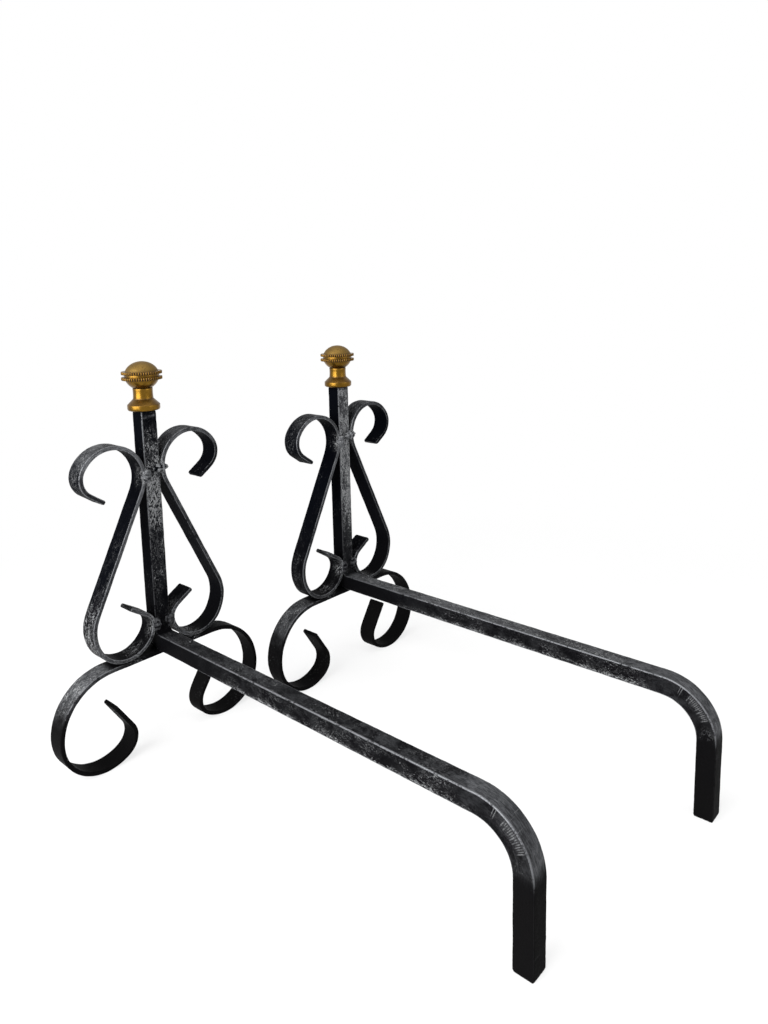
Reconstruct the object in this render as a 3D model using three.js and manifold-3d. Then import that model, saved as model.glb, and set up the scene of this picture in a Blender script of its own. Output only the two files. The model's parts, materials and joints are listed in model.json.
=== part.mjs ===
// A matched pair of wrought-iron andirons with turned brass finials.
// Millimetres, +Z up. The scrolled fronts face -Y and the log rails run back along +Y.
// Seen from the room, one andiron is the right one (+X) and one is the left one (-X).
// The origin is on the hearth, in the middle of the pair's overall length and width.
//
// Each andiron is one square bar, bent into a post, a log rail and a rear leg. A flat strip
// passes under its front bend and curls into two feet. Two more flat strips make the side
// scrolls: each is welded to the post high up and low down, and stands on the foot strip.
// A brass collar and a brass knob screw onto a steel stud in the top of the post.

import * as THREE from 'three';
import { mergeVertices } from 'three/addons/utils/BufferGeometryUtils.js';
import Module from 'manifold-3d';

// ---------- Driving dimensions ----------

// The pair, as it stands
const pairSpacing = 226;        // post axis to post axis, across the hearth
const footClearance = 13;       // free space, front to back, between the two foot strips
const seatGap = 0.3;            // between two pieces that touch

// Square bar: post, log rail and rear leg in one length
const barSize = 16;
const postHeight = 331.5;
const railTop = 113.5;
const postToLeg = 417;          // post axis to rear leg axis
const frontBendRadius = 12;     // bend radii are to the middle of the bar
const rearBendRadius = 38;

// Flat strip of the scrolls and feet
const stripWidth = 20;
const stripThickness = 4;

// Side scroll, from the weld high on the post up into the top curl
const upperWeldHeight = 271;     // of the scroll on the +X side of its post
const weldStagger = 5;           // how much higher the scroll on the -X side is welded
const topCurlRadius = 32;
const topCurlTurn = 150;
const topHookRadius = 18;
const topHookTurn = 85;
const topTipLength = 16;

// Side scroll, from the same weld down into the lower curl and back to the post
const splayRadius = 33;
const bellyRadius = 37;
const bellyTurn = 61;
const lowerCurlRadius = 30;
const lowerCurlTurn = 125;
const tailRadius = 15;
const tailTurn = 78;
const tailTipLength = 19;

// Foot strip, from the middle of the andiron out to one tip
const footFlatHalf = 57;        // straight part under the bar, to each side
const footShoulderRadius = 52;
const footShoulderTurn = 90;
const footLoopTurn = 123;
const footHookRadius = 18;
const footHookTurn = 90;
const footTipLength = 31;

// Steel stud in the top of the post
const studRadius = 4;
const studDepth = 15;           // part of the stud below the top of the post
const studStandOut = 27;        // part of the stud above the top of the post
const studHoleDepth = 18;
const studChamfer = 1;
const threadClearance = 0.3;    // radial, around the stud

// Brass collar: flange, cone and neck. Heights are from the top of the post.
const flangeRadius = 15;
const flangeRound = 1;
const flangeHeight = 5.9;
const collarHeight = 21;
const coneTopHeight = 10.1;
const neckRadius = 9.3;
const neckTopRadius = 8.9;

// Brass knob: a ball with two thin discs round it. Heights are from the bottom of the ball.
const ballRadius = 15.8;
const knobHeight = 24.6;
const discRadius = 18.6;
const discThickness = 2;
const discRoot = 0.4;           // how far a disc runs into the ball
const lowerDiscHeight = 8.9;
const upperDiscHeight = 14.1;
const knobHoleDepth = 9;

// Weld beads, as the radii of a lump across, front to back and up
const postBead = [4.4, 4, 8];
const tailBead = [4.4, 4, 6];
const loopBead = [5, 8.5, 2.6];
const cornerBead = [7, 6, 3.4];
const loopBeadInset = 9;        // from where the lower curl stands, towards the post
const cornerBeadForward = 5;    // in front of the post's axis

// Fineness of the facets
const arcStep = 9;              // degrees of a bend per facet
const turnedFacets = 28;        // facets round a turned piece
const beadFacets = 14;
const ballFacets = 5;           // facets from the knob's middle to its top or bottom

// ---------- Materials ----------

const iron = new THREE.MeshStandardMaterial({ color: 0x1f2023, roughness: 0.55, metalness: 0.6 });
const weldIron = new THREE.MeshStandardMaterial({ color: 0x2c2d30, roughness: 0.6, metalness: 0.6 });
const steel = new THREE.MeshStandardMaterial({ color: 0x8a8c8f, roughness: 0.4, metalness: 1 });
const brass = new THREE.MeshStandardMaterial({ color: 0xa67c32, roughness: 0.35, metalness: 1 });

// ---------- Centre lines ----------

// A centre line is a list of { u, v, heading }: u across, v up, heading in degrees from +u
// towards +v. A step is { length } or { radius, turn }, with turn positive to the left.

const radians = THREE.MathUtils.degToRad;

function walk(start, steps) {
  const line = [start];
  let { u, v, heading } = start;
  for (const step of steps) {
    const facets = step.turn ? Math.max(2, Math.ceil(Math.abs(step.turn) / arcStep)) : 1;
    const bend = step.turn ? step.turn / facets : 0;
    const reach = step.turn ? 2 * step.radius * Math.sin(radians(Math.abs(bend)) / 2) : step.length;
    for (let i = 0; i < facets; i += 1) {
      const along = radians(heading + bend / 2);
      u += reach * Math.cos(along);
      v += reach * Math.sin(along);
      heading += bend;
      line.push({ u, v, heading });
    }
  }
  return line;
}

function backwards(line) {
  return line.map((p) => ({ ...p, heading: p.heading + 180 })).reverse();
}

function mirrored(line) {
  return line.map((p) => ({ u: -p.u, v: p.v, heading: 180 - p.heading }));
}

function joined(first, second) {
  return [...first, ...second.slice(1)];
}

// How far an arc of the given radius moves, from one heading to another
function arcRise(radius, from, to) {
  return radius * Math.abs(Math.cos(radians(to)) - Math.cos(radians(from)));
}

// Side scroll, drawn for the +X side. It touches the side of the post at its upper weld. The
// splay and the straight below it are found so that the lower curl stands on the foot strip
// and comes back to the same side of the post.
const footStripMiddle = railTop - barSize - seatGap - stripThickness / 2;
const scrollSeat = footStripMiddle + stripThickness + seatGap;
const scrollOffset = barSize / 2 + seatGap + stripThickness / 2;

function lowerHalf(weldHeight, splay, straight) {
  return walk({ u: scrollOffset, v: weldHeight, heading: -90 }, [
    { radius: splayRadius, turn: splay },
    { length: straight },
    { radius: bellyRadius, turn: -bellyTurn },
    { radius: lowerCurlRadius, turn: -lowerCurlTurn },
    { radius: tailRadius, turn: -tailTurn },
    { length: tailTipLength },
  ]);
}

function straightFor(weldHeight, splay) {
  const lowest = Math.min(...lowerHalf(weldHeight, splay, 0).map((p) => p.v));
  return (lowest - scrollSeat) / Math.cos(radians(splay));
}

// The point where the lower curl comes nearest to the post's axis
function curlReturn(line) {
  const curl = line.filter((p) => p.heading < -180);
  return curl.reduce((near, p) => (p.u < near.u ? p : near));
}

function fittedLowerHalf(weldHeight) {
  const lineAt = (splay) => lowerHalf(weldHeight, splay, straightFor(weldHeight, splay));
  let low = 0;
  let high = 60;
  for (let i = 0; i < 40; i += 1) {
    const splay = (low + high) / 2;
    if (curlReturn(lineAt(splay)).u < scrollOffset) {
      low = splay;
    } else {
      high = splay;
    }
  }
  return lineAt(high);
}

function upperHalf(weldHeight) {
  return walk({ u: scrollOffset, v: weldHeight, heading: 90 }, [
    { radius: topCurlRadius, turn: -topCurlTurn },
    { radius: topHookRadius, turn: -topHookTurn },
    { length: topTipLength },
  ]);
}

// One side scroll: its whole line, and where its lower curl meets the post and the foot strip
function sideScroll(name, direction, weldHeight) {
  const lowerLine = fittedLowerHalf(weldHeight);
  const line = joined(backwards(upperHalf(weldHeight)), lowerLine);
  return {
    name,
    direction,
    weldHeight,
    line: direction > 0 ? line : mirrored(line),
    tailContact: curlReturn(lowerLine),
    loopContact: lowerLine.reduce((low, p) => (p.v < low.v ? p : low)),
  };
}

const sideScrolls = [
  sideScroll('outer', 1, upperWeldHeight),
  sideScroll('inner', -1, upperWeldHeight + weldStagger),
];

// Foot strip. The loop radius takes up the height that the shoulder leaves.
const footDrop = footStripMiddle - stripThickness / 2;
const footLoopRadius = (footDrop - arcRise(footShoulderRadius, 0, footShoulderTurn))
  / (1 + Math.cos(radians(footShoulderTurn)));
const footHalf = walk({ u: 0, v: footStripMiddle, heading: 0 }, [
  { length: footFlatHalf },
  { radius: footShoulderRadius, turn: -footShoulderTurn },
  { radius: footLoopRadius, turn: -footLoopTurn },
  { radius: footHookRadius, turn: -footHookTurn },
  { length: footTipLength },
]);
const footLine = joined(backwards(mirrored(footHalf)), footHalf);

// Main bar, in the plane of its length: u is Y and v is Z
const railMiddle = railTop - barSize / 2;
const barLine = walk({ u: 0, v: postHeight, heading: -90 }, [
  { length: postHeight - railMiddle - frontBendRadius },
  { radius: frontBendRadius, turn: 90 },
  { length: postToLeg - frontBendRadius - rearBendRadius },
  { radius: rearBendRadius, turn: -90 },
  { length: railMiddle - rearBendRadius },
]);

// ---------- Solids ----------

// A bar or strip of rectangular section along a centre line, lying across the u-v plane
function bentBar(line, thickness, width) {
  const side = (p, distance) => new THREE.Vector2(
    p.u - distance * Math.sin(radians(p.heading)),
    p.v + distance * Math.cos(radians(p.heading)),
  );
  const left = line.map((p) => side(p, thickness / 2));
  const right = line.map((p) => side(p, -thickness / 2));
  const outline = new THREE.Shape([...left, ...right.reverse()]);
  const geometry = new THREE.ExtrudeGeometry(outline, { depth: width, bevelEnabled: false });
  geometry.translate(0, 0, -width / 2);
  geometry.rotateX(Math.PI / 2);
  return geometry;
}

function mainBarGeometry(extra) {
  const geometry = bentBar(barLine, barSize + 2 * extra, barSize + 2 * extra);
  geometry.rotateZ(Math.PI / 2);
  return geometry;
}

function stripGeometry(line, extra) {
  return bentBar(line, stripThickness + 2 * extra, stripWidth + 2 * extra);
}

// A turned piece from its [radius, height] profile, standing at the given height
function turned(profile, baseHeight) {
  const points = profile.map(([radius, height]) => new THREE.Vector2(radius, height));
  const geometry = new THREE.LatheGeometry(points, turnedFacets);
  geometry.rotateX(Math.PI / 2);
  geometry.translate(0, 0, baseHeight);
  return geometry;
}

const wasm = await Module();
wasm.setup();

function toSolid(geometry) {
  const bare = geometry.clone();
  bare.deleteAttribute('normal');
  bare.deleteAttribute('uv');
  const merged = mergeVertices(bare, 1e-4);
  return new wasm.Manifold(new wasm.Mesh({
    numProp: 3,
    vertProperties: new Float32Array(merged.attributes.position.array),
    triVerts: new Uint32Array(merged.index.array),
  }));
}

function toGeometry(solid) {
  const mesh = solid.getMesh();
  const geometry = new THREE.BufferGeometry();
  geometry.setAttribute('position', new THREE.BufferAttribute(mesh.vertProperties, 3));
  geometry.setIndex(new THREE.BufferAttribute(mesh.triVerts, 1));
  geometry.computeVertexNormals();
  return geometry;
}

// The main bar has a blind hole for the stud in the top of its post
function drilledMainBar() {
  const holeRadius = studRadius + threadClearance;
  const hole = turned([
    [0, 0],
    [holeRadius, 0],
    [holeRadius, studHoleDepth + barSize],
    [0, studHoleDepth + barSize],
  ], postHeight - studHoleDepth);
  return toGeometry(toSolid(mainBarGeometry(0)).subtract(toSolid(hole)));
}

function studGeometry() {
  const length = studDepth + studStandOut;
  return turned([
    [0, 0],
    [studRadius - studChamfer, 0],
    [studRadius, studChamfer],
    [studRadius, length - studChamfer],
    [studRadius - studChamfer, length],
    [0, length],
  ], postHeight - studDepth);
}

// The collar is a ring on the stud: flange, cone and slightly tapered neck
function collarGeometry() {
  const bore = studRadius + threadClearance;
  return turned([
    [bore, 0],
    [flangeRadius - flangeRound, 0],
    [flangeRadius, flangeRound],
    [flangeRadius, flangeHeight - flangeRound],
    [flangeRadius - flangeRound, flangeHeight],
    [neckRadius, coneTopHeight],
    [neckTopRadius, collarHeight],
    [bore, collarHeight],
    [bore, 0],
  ], postHeight + seatGap);
}

// The knob is a ball, flat underneath and a little flattened on top, with two thin discs
function knobGeometry() {
  const bore = studRadius + threadClearance;
  const middle = (lowerDiscHeight + upperDiscHeight) / 2;
  const lowStart = Math.asin(neckTopRadius / ballRadius);
  const lowerRise = middle / Math.cos(lowStart);
  const upperRise = knobHeight - middle;
  const ballPoint = (angle, rise) => [ballRadius * Math.sin(angle), middle - rise * Math.cos(angle)];
  const lower = [];
  const upper = [];
  for (let i = 0; i <= ballFacets; i += 1) {
    lower.push(ballPoint(lowStart + (Math.PI / 2 - lowStart) * (i / ballFacets), lowerRise));
    upper.push(ballPoint((Math.PI / 2) * (1 + i / ballFacets), upperRise));
  }
  const disc = (height) => [
    [ballRadius - discRoot, height - discThickness / 2],
    [discRadius, height - discThickness / 2],
    [discRadius, height + discThickness / 2],
    [ballRadius - discRoot, height + discThickness / 2],
  ];
  const below = lower.filter(([, height]) => height < lowerDiscHeight - discThickness);
  const above = upper.filter(([, height]) => height > upperDiscHeight + discThickness);
  above[above.length - 1][0] = 0;
  return turned([
    [0, knobHoleDepth],
    [bore, knobHoleDepth],
    [bore, 0],
    ...below,
    ...disc(lowerDiscHeight),
    ...disc(upperDiscHeight),
    ...above,
  ], postHeight + 2 * seatGap + collarHeight);
}

// Everything that a weld bead has to stay clear of
const beadKeepOut = [
  mainBarGeometry(seatGap),
  stripGeometry(footLine, seatGap),
  ...sideScrolls.map(({ line }) => stripGeometry(line, seatGap)),
].map(toSolid);

// A bead is a lump of weld metal that fills the corner between two pieces
function weldBead([across, deep, tall], [x, y, z]) {
  const lump = new THREE.SphereGeometry(1, beadFacets, beadFacets - 4);
  lump.rotateX(Math.PI / 2);
  lump.scale(across, deep, tall);
  lump.translate(x, y, z);
  const bead = beadKeepOut.reduce((left, piece) => left.subtract(piece), toSolid(lump));
  const pieces = bead.decompose().sort((a, b) => b.volume() - a.volume());
  return toGeometry(pieces[0]);
}

// ---------- One andiron ----------

const rear = barSize / 2;

// The pieces of the right andiron, whose outer side is +X, standing with its post on the axis
const pieces = [
  { name: 'main_bar', geometry: drilledMainBar(), material: iron },
  { name: 'foot_scroll', geometry: stripGeometry(footLine, 0), material: iron },
  { name: 'finial_stud', geometry: studGeometry(), material: steel },
  { name: 'finial_collar', geometry: collarGeometry(), material: brass },
  { name: 'finial_knob', geometry: knobGeometry(), material: brass },
  {
    name: 'corner_weld',
    geometry: weldBead(cornerBead, [0, -cornerBeadForward, footStripMiddle + stripThickness]),
    material: weldIron,
  },
];

const sidePieces = sideScrolls.flatMap((scroll) => {
  const { name, direction, line } = scroll;
  const beadX = direction * rear;
  const loopX = direction * (scroll.loopContact.u - loopBeadInset);
  return [
    { name: `${name}_scroll`, geometry: stripGeometry(line, 0), material: iron },
    {
      name: `${name}_top_weld`,
      geometry: weldBead(postBead, [beadX, rear, scroll.weldHeight]),
      material: weldIron,
    },
    {
      name: `${name}_tail_weld`,
      geometry: weldBead(tailBead, [beadX, rear, scroll.tailContact.v]),
      material: weldIron,
    },
    {
      name: `${name}_loop_weld`,
      geometry: weldBead(loopBead, [loopX, 0, footStripMiddle + stripThickness / 2]),
      material: weldIron,
    },
  ];
});

// The left andiron is the same, with its outer side at -X: its outer and inner pieces swap
function andiron(prefix, outerDirection) {
  const group = new THREE.Group();
  for (const { name, geometry, material } of [...pieces, ...sidePieces]) {
    let label = name;
    if (outerDirection < 0) {
      label = name.replace(/^(outer|inner)/, (side) => (side === 'outer' ? 'inner' : 'outer'));
    }
    const mesh = new THREE.Mesh(geometry, material.clone());
    mesh.name = `${prefix}_${label}`;
    group.add(mesh);
  }
  return group;
}

// ---------- The pair ----------

const pairStagger = stripWidth + footClearance;
const frontFace = -Math.max(stripWidth / 2, discRadius);
const backFace = pairStagger + postToLeg + barSize / 2;
const middleY = (frontFace + backFace) / 2;

const rightAndiron = andiron('right', 1);
rightAndiron.position.set(pairSpacing / 2, -middleY, 0);

const leftAndiron = andiron('left', -1);
leftAndiron.position.set(-pairSpacing / 2, pairStagger - middleY, 0);

const pair = new THREE.Group();
pair.add(rightAndiron, leftAndiron);

export default pair;
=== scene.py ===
"""A pair of wrought-iron andirons with turned brass finials, seen from the fire side."""
import json
import math

import bmesh
import bpy
import numpy as np
from mathutils import Matrix, Vector, noise


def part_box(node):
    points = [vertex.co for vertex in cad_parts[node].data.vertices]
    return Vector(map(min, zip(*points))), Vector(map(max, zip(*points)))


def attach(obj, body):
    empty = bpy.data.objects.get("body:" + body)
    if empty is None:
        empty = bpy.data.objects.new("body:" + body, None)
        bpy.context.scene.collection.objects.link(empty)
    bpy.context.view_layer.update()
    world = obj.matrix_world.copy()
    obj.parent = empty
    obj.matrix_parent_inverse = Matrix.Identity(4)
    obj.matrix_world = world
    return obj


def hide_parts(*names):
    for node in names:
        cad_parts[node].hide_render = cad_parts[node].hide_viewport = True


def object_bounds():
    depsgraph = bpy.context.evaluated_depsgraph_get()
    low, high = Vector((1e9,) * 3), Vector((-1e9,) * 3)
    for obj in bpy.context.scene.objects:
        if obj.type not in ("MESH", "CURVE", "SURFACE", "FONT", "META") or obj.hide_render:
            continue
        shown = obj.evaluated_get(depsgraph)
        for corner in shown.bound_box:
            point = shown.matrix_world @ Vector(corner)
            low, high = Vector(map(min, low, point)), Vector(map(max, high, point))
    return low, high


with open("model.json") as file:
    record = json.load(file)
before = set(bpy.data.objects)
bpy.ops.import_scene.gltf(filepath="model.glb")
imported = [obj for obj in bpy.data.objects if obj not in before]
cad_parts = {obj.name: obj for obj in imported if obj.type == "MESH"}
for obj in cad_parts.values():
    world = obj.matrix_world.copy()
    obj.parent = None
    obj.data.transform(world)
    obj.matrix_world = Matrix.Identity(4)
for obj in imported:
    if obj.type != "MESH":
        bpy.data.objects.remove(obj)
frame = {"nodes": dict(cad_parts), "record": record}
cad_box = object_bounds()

MM = 0.001
SIDES = ("right", "left")
X, Y, Z = 0, 1, 2

# ---------- Sizes of the pieces and their wear, in metres ----------

BAR_EDGE = 1.0 * MM          # rounding of the square bar's corners
STRIP_EDGE = 0.7 * MM        # rounding of the strip's corners
EDGE_GUARD = 0.25 * MM       # from a corner to the first point of the flat
EDGE_BAND = 1.2 * MM         # from a corner to where its worn band ends on the flat
BAR_STEP = 1.6 * MM          # length of one ring of the square bar
STRIP_STEP = 1.4 * MM        # length of one ring of the strip
FINE_STEP = 0.4 * MM         # length of one ring where the bar is bent over its jaws
TIP_ROUND = 0.5 * MM         # how far a cut end is filed in
HAND_WAVE = 0.14 * MM        # height of the small unevenness of hand work
WAVE_LENGTH = 11 * MM        # length of one wave of it
CHIP_LENGTH = 2.6 * MM       # length of the small chips along the corners
CHIP_DEPTH = 0.10 * MM       # their depth in the middle of a bar
TIP_CHIP_DEPTH = 0.30 * MM   # how much deeper they are at its ends
TIP_REACH = 14 * MM          # how far from an end they are deeper
BEND_SWELL = 0.05            # how much wider the bar gets on the inside of a bend
SWELL_REACH = 8 * MM         # how gently that starts and ends
RUB_REACH = 9 * MM           # how gently the rubbing of a bend's outside starts and ends
SEAT_GAP = 0.3 * MM          # the gap that the frame leaves between touching pieces

BEND_OUTER = 46 * MM         # outer radius of the rear bend
MARK_COUNT = 15              # jaw marks on the rear bend
MARK_START = 28              # degrees round the bend to the first mark
MARK_SPACING = 2.05          # degrees from one mark to the next
MARK_WIDTH = 0.42            # degrees
MARK_DEPTH = 0.25 * MM
MARK_LENGTH = 4.6 * MM
MARK_VARIES = 1.8 * MM       # how much longer or shorter a mark may be
MARK_INSET = 2.6 * MM        # from the outside of the bend to where the marks start
DRAG_MARKS = ((66.5, 9.0 * MM), (69.0, 7.5 * MM))    # degrees round the bend, length
DRAG_WIDTH = 0.30            # degrees
DRAG_INSET = 0.5 * MM        # from the outside of the bend to where the drag marks start

# Where the rub and the painted sheen of one stretch of the bar fade into the next
POST_REAR = (9 * MM, 16 * MM)        # from post to rail, behind the post's axis
POST_UPPER = (0.12, 0.22)            # to the upper half of the post, above the hearth
RAIL_FAR = (0.05, 0.16)              # from the clean to the worn part of the rail, behind it
RAIL_FOOT = (10.5 * MM, 14.5 * MM)   # from the side of the rail to its lower edge, below its top
BEND_FRONT = (0.045, 0.075)          # from rear bend to rail, in front of the leg's rear face
BEND_FOOT = (0.062, 0.085)           # from leg to rear bend, above the hearth
LEG_FRONT = (17 * MM, 19 * MM)       # from leg to rail, in front of the leg's rear face
LEG_TOP = (0.062, 0.080)             # from leg to rail, above the hearth

# Where the rub and the painted sheen of one stretch of a scroll fade into the next
CURL_CROWN = (0.008, 0.042)          # from the crown of the upper curl down, below its top
CURL_FOOT = (0.065, 0.085)           # from the upper curl to the straight part, below its top
CURL_OUT = (0.032, 0.046)            # to the hanging part of the curl, beside the post's axis
BELLY_TOP = (0.15, 0.29)             # from the belly to the straight part, above the hearth
SHOULDER_RISE = (0.050, 0.088)       # from the foot strip to its shoulders, above the hearth
SHOULDER_OUT = (0.035, 0.060)        # and beside the post's axis

SMEAR_HEIGHT = 0.3262        # a bright smear across the rear of the post, under the flange
SMEAR_SLOPE = 0.15           # how far it falls towards +X, for each metre across
SMEAR_WIDTH = 1.1 * MM
BRUSHED_REACH = 11 * MM      # how far from a weld the wire brush has been

# The share of the post's rear that is rubbed to pewter, by height above the hearth
POST_RUBBED = ((0.100, 0.12), (0.140, 0.20), (0.165, 0.38), (0.200, 0.62), (0.240, 0.95),
               (0.266, 1.00), (0.285, 0.80), (0.300, 0.60), (0.313, 0.34), (0.321, 0.16),
               (0.327, 0.16), (0.331, 0.42))
# How strongly each post is rubbed, the least share on its upper half, and how much pewter layer with
# painted sheen lies over it
POST_RUB_AND_SHEEN = {"right": (0.92, 0.0, 0.20), "left": (1.25, 0.95, 0.60)}
# How far the top of each rail is rubbed and given the pewter layer with painted sheen
RAIL_RUB_AND_SHEEN = {"right": 0.30, "left": 0.60}

# How far a side scroll is rubbed and given the pewter layer with painted sheen: the crown of its top
# curl, its belly, its narrow faces
SCROLL_RUB_AND_SHEEN = {
    "right_outer_scroll": (0.60, 0.66, 1.10),
    "right_inner_scroll": (0.52, 0.16, 0.74),
    "left_inner_scroll": (0.26, 0.20, 0.90),
    "left_outer_scroll": (0.48, 0.12, 0.60),
}
# How far a foot's shoulder is rubbed and painted lighter, on the +X side, which faces the window
# lamp and gets far more as a painted highlight, and on the -X side
FOOT_RUB_AND_LIT_SIDE = {"right_foot_scroll": (0.85, 0.12), "left_foot_scroll": (0.60, 0.15)}

THREAD_PITCH = 1.25 * MM
THREAD_DEPTH = 0.62 * MM
FINIAL_BORE = 4.3 * MM       # radius of the hole for the stud
TURNED_FACETS = 96           # facets round a turned piece
MATTE_FADE = 1.5 * MM        # height over which the brass turns matte
BALL = 15.8 * MM             # radius of the knob's ball
BALL_FOOT = 8.9 * MM         # radius of the flat that it stands on
DISC_HEIGHTS = {"lower": 8.9 * MM, "upper": 14.1 * MM}    # above the foot of the ball
DISC_HALF = 1.35 * MM        # half the thickness of a disc
KNURL_TEETH = 50
KNURL_DEPTH = 1.0 * MM
KNURL_LENGTH = 1.7 * MM      # how far a tooth reaches in from the rim of its disc

# ---------- Studio ----------

FLOOR_REACH = 30.0                   # metres from the middle of the floor to its edges
FLOOR_DROP = 0.1 * MM                # how far the floor lies below the feet
FLOOR_NEAR, FLOOR_FAR = 0.35, 0.9    # metres from the middle over which the floor fades out
FLOOR_GLOW = 0.75                    # how white the floor is by itself under the andirons
WORLD_LIGHT = 0.34
# Where each lamp stands, what it points at, its width and height in metres, and its watts
LAMPS = {
    "window_side": ((1.5, -0.15, 0.85), (0, -0.1, 0.35), (1.5, 1.6), 70.0),
    "overhead": ((0.1, 0.1, 2.1), (0, 0, 0.1), (1.4, 1.4), 18.0),
    "hearth_side": ((-0.7, 1.8, 0.9), (0, 0, 0.15), (1.2, 0.9), 16.0),
}

# ---------- Camera, matched to the photograph ----------

FRAME_WIDTH = 768
FRAME_HEIGHT = 1024
CAMERA_AZIMUTH = 132.289     # degrees, 0 looks along +Y
CAMERA_ELEVATION = 8.656     # degrees above level
CAMERA_ROLL = -1.339         # degrees
CAMERA_FOCAL = 781.0         # in pixels of the photograph's frame
SENSOR_HEIGHT = 36.0         # in millimetres
CAMERA_CENTRE = (374.07, 406.35)             # where the lens points, in the same pixels
CAMERA_FROM_POST = (0.392, 0.6491, 0.4406)   # from the foot of the right post, in metres


# ---------- Reading the frame ----------

def side_outline(node, across):
    """The loop of corner points round the side face of a bent bar, in the order they lie."""
    bm = bmesh.new()
    bm.from_mesh(frame["nodes"][node].data)
    bmesh.ops.remove_doubles(bm, verts=bm.verts, dist=0.01 * MM)
    bm.normal_update()
    side = max(v.co[across] for v in bm.verts)
    rim = []
    for edge in bm.edges:
        on_side = all(v.co[across] > side - 0.01 * MM for v in edge.verts)
        caps = sum(abs(face.normal[across]) > 0.9 for face in edge.link_faces)
        if on_side and caps == 1:
            rim.append(edge)
    neighbours = {}
    for edge in rim:
        a, b = edge.verts
        neighbours.setdefault(a, []).append(b)
        neighbours.setdefault(b, []).append(a)
    start = rim[0].verts[0]
    loop = [start]
    before, here = start, neighbours[start][0]
    while here is not start:
        loop.append(here)
        ahead = [v for v in neighbours[here] if v is not before][0]
        before, here = here, ahead
    points = np.array([v.co[:] for v in loop])
    bm.free()
    return np.delete(points, across, axis=1)


def centre_line(node, across):
    """Middle points and sideways directions along a bent bar, and its thickness."""
    loop = side_outline(node, across)
    after = np.roll(loop, -1, axis=0) - loop
    before = loop - np.roll(loop, 1, axis=0)
    cosine = (after * before).sum(1) / (
        np.linalg.norm(after, axis=1) * np.linalg.norm(before, axis=1))
    corners = np.where(cosine < 0.5)[0]
    loop = np.roll(loop, -corners[0], axis=0)
    cuts = [int(c - corners[0]) for c in corners] + [len(loop)]
    closed = np.vstack([loop, loop[:1]])
    runs = [closed[a:b + 1] for a, b in zip(cuts[:-1], cuts[1:])]
    long_runs = sorted(runs, key=len)[-2:]
    one, other = long_runs[0], long_runs[1][::-1]
    if np.linalg.norm(one[0] - other[0]) > np.linalg.norm(one[0] - other[-1]):
        other = other[::-1]
    middle = (one + other) / 2
    sideways = one - other
    thickness = float(np.median(np.linalg.norm(sideways, axis=1)))
    return middle, sideways / np.linalg.norm(sideways, axis=1)[:, None], thickness


def even_line(middle, sideways, step, fine):
    """The same line with evenly spaced points: straights stay straight and bends stay round.

    Gives the points, the directions and how fast the line turns to the left, in 1/m. The
    straights are divided by step, and the bends by fine.
    """
    along = np.stack([-sideways[:, 1], sideways[:, 0]], 1)
    if (along[0] * (middle[1] - middle[0])).sum() < 0:
        along = -along
    points, tangents, turns = [], [], []
    for i in range(len(middle) - 1):
        p, q, t, u = middle[i], middle[i + 1], along[i], along[i + 1]
        chord = np.linalg.norm(q - p)
        turn = math.atan2(t[0] * u[1] - t[1] * u[0], float(t @ u))
        bent = abs(turn) > 1e-4
        arc = chord * (turn / 2) / math.sin(turn / 2) if bent else chord
        count = max(1, round(arc / (fine if bent else step)))
        for k in range(count):
            s = k / count
            place = ((2 * s ** 3 - 3 * s ** 2 + 1) * p + (s ** 3 - 2 * s ** 2 + s) * arc * t
                     + (3 * s ** 2 - 2 * s ** 3) * q + (s ** 3 - s ** 2) * arc * u)
            direction = (1 - s) * t + s * u
            points.append(place)
            tangents.append(direction / np.linalg.norm(direction))
            turns.append(turn / arc if bent else 0.0)
    points.append(middle[-1])
    tangents.append(along[-1])
    turns.append(0.0)
    return np.array(points), np.array(tangents), np.array(turns)


def middle_of(node):
    """Where an upright turned node stands: its axis, bottom, top and radius."""
    low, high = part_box(node)
    return ((low.x + high.x) / 2, (low.y + high.y) / 2), low.z, high.z, (high.x - low.x) / 2


def post_place(side):
    """The foot of a post's axis, on the hearth."""
    axis, _, _, _ = middle_of(f"{side}_finial_stud")
    return np.array([axis[0], axis[1], 0.0])


def log_rest_height(side):
    mounts = {mount["name"]: mount for mount in frame["record"]["mounts"]}
    return mounts[f"{side}_log_rest"]["pos_m"][Z]


# ---------- Bars and strips ----------

def rounded_section(thick, wide, radius, across_thick, across_wide):
    """Points (out, wide, edge) round a rectangle. edge is 1 on the corners, 0 on the flats.

    across_thick and across_wide are how many facets the flats are divided into.
    """
    half_t, half_w = thick / 2 - radius, wide / 2 - radius
    corner_edge = (0.7, 1.0, 1.0, 0.7)
    corners = [(half_t, half_w, 0), (-half_t, half_w, 90),
               (-half_t, -half_w, 180), (half_t, -half_w, 270)]
    arcs = []
    for ct, cw, first in corners:
        arcs.append([(ct + radius * math.cos(math.radians(first + 30 * k)),
                      cw + radius * math.sin(math.radians(first + 30 * k)),
                      corner_edge[k]) for k in range(4)])
    section = []
    for i, arc in enumerate(arcs):
        section += arc
        here, there = arc[-1], arcs[(i + 1) % 4][0]
        flat = across_thick if i % 2 == 0 else across_wide
        length = math.dist(here[:2], there[:2])
        guard, band = EDGE_GUARD / length, min(0.3, EDGE_BAND / length)
        stops = [(guard, 0.45), (band, 0.0)]
        stops += [(band + (1 - 2 * band) * k / flat, 0.0) for k in range(1, flat)]
        stops += [(1 - band, 0.0), (1 - guard, 0.45)]
        for stop, worn in stops:
            section.append((here[0] + stop * (there[0] - here[0]),
                            here[1] + stop * (there[1] - here[1]), worn))
    return np.array(section)


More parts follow.
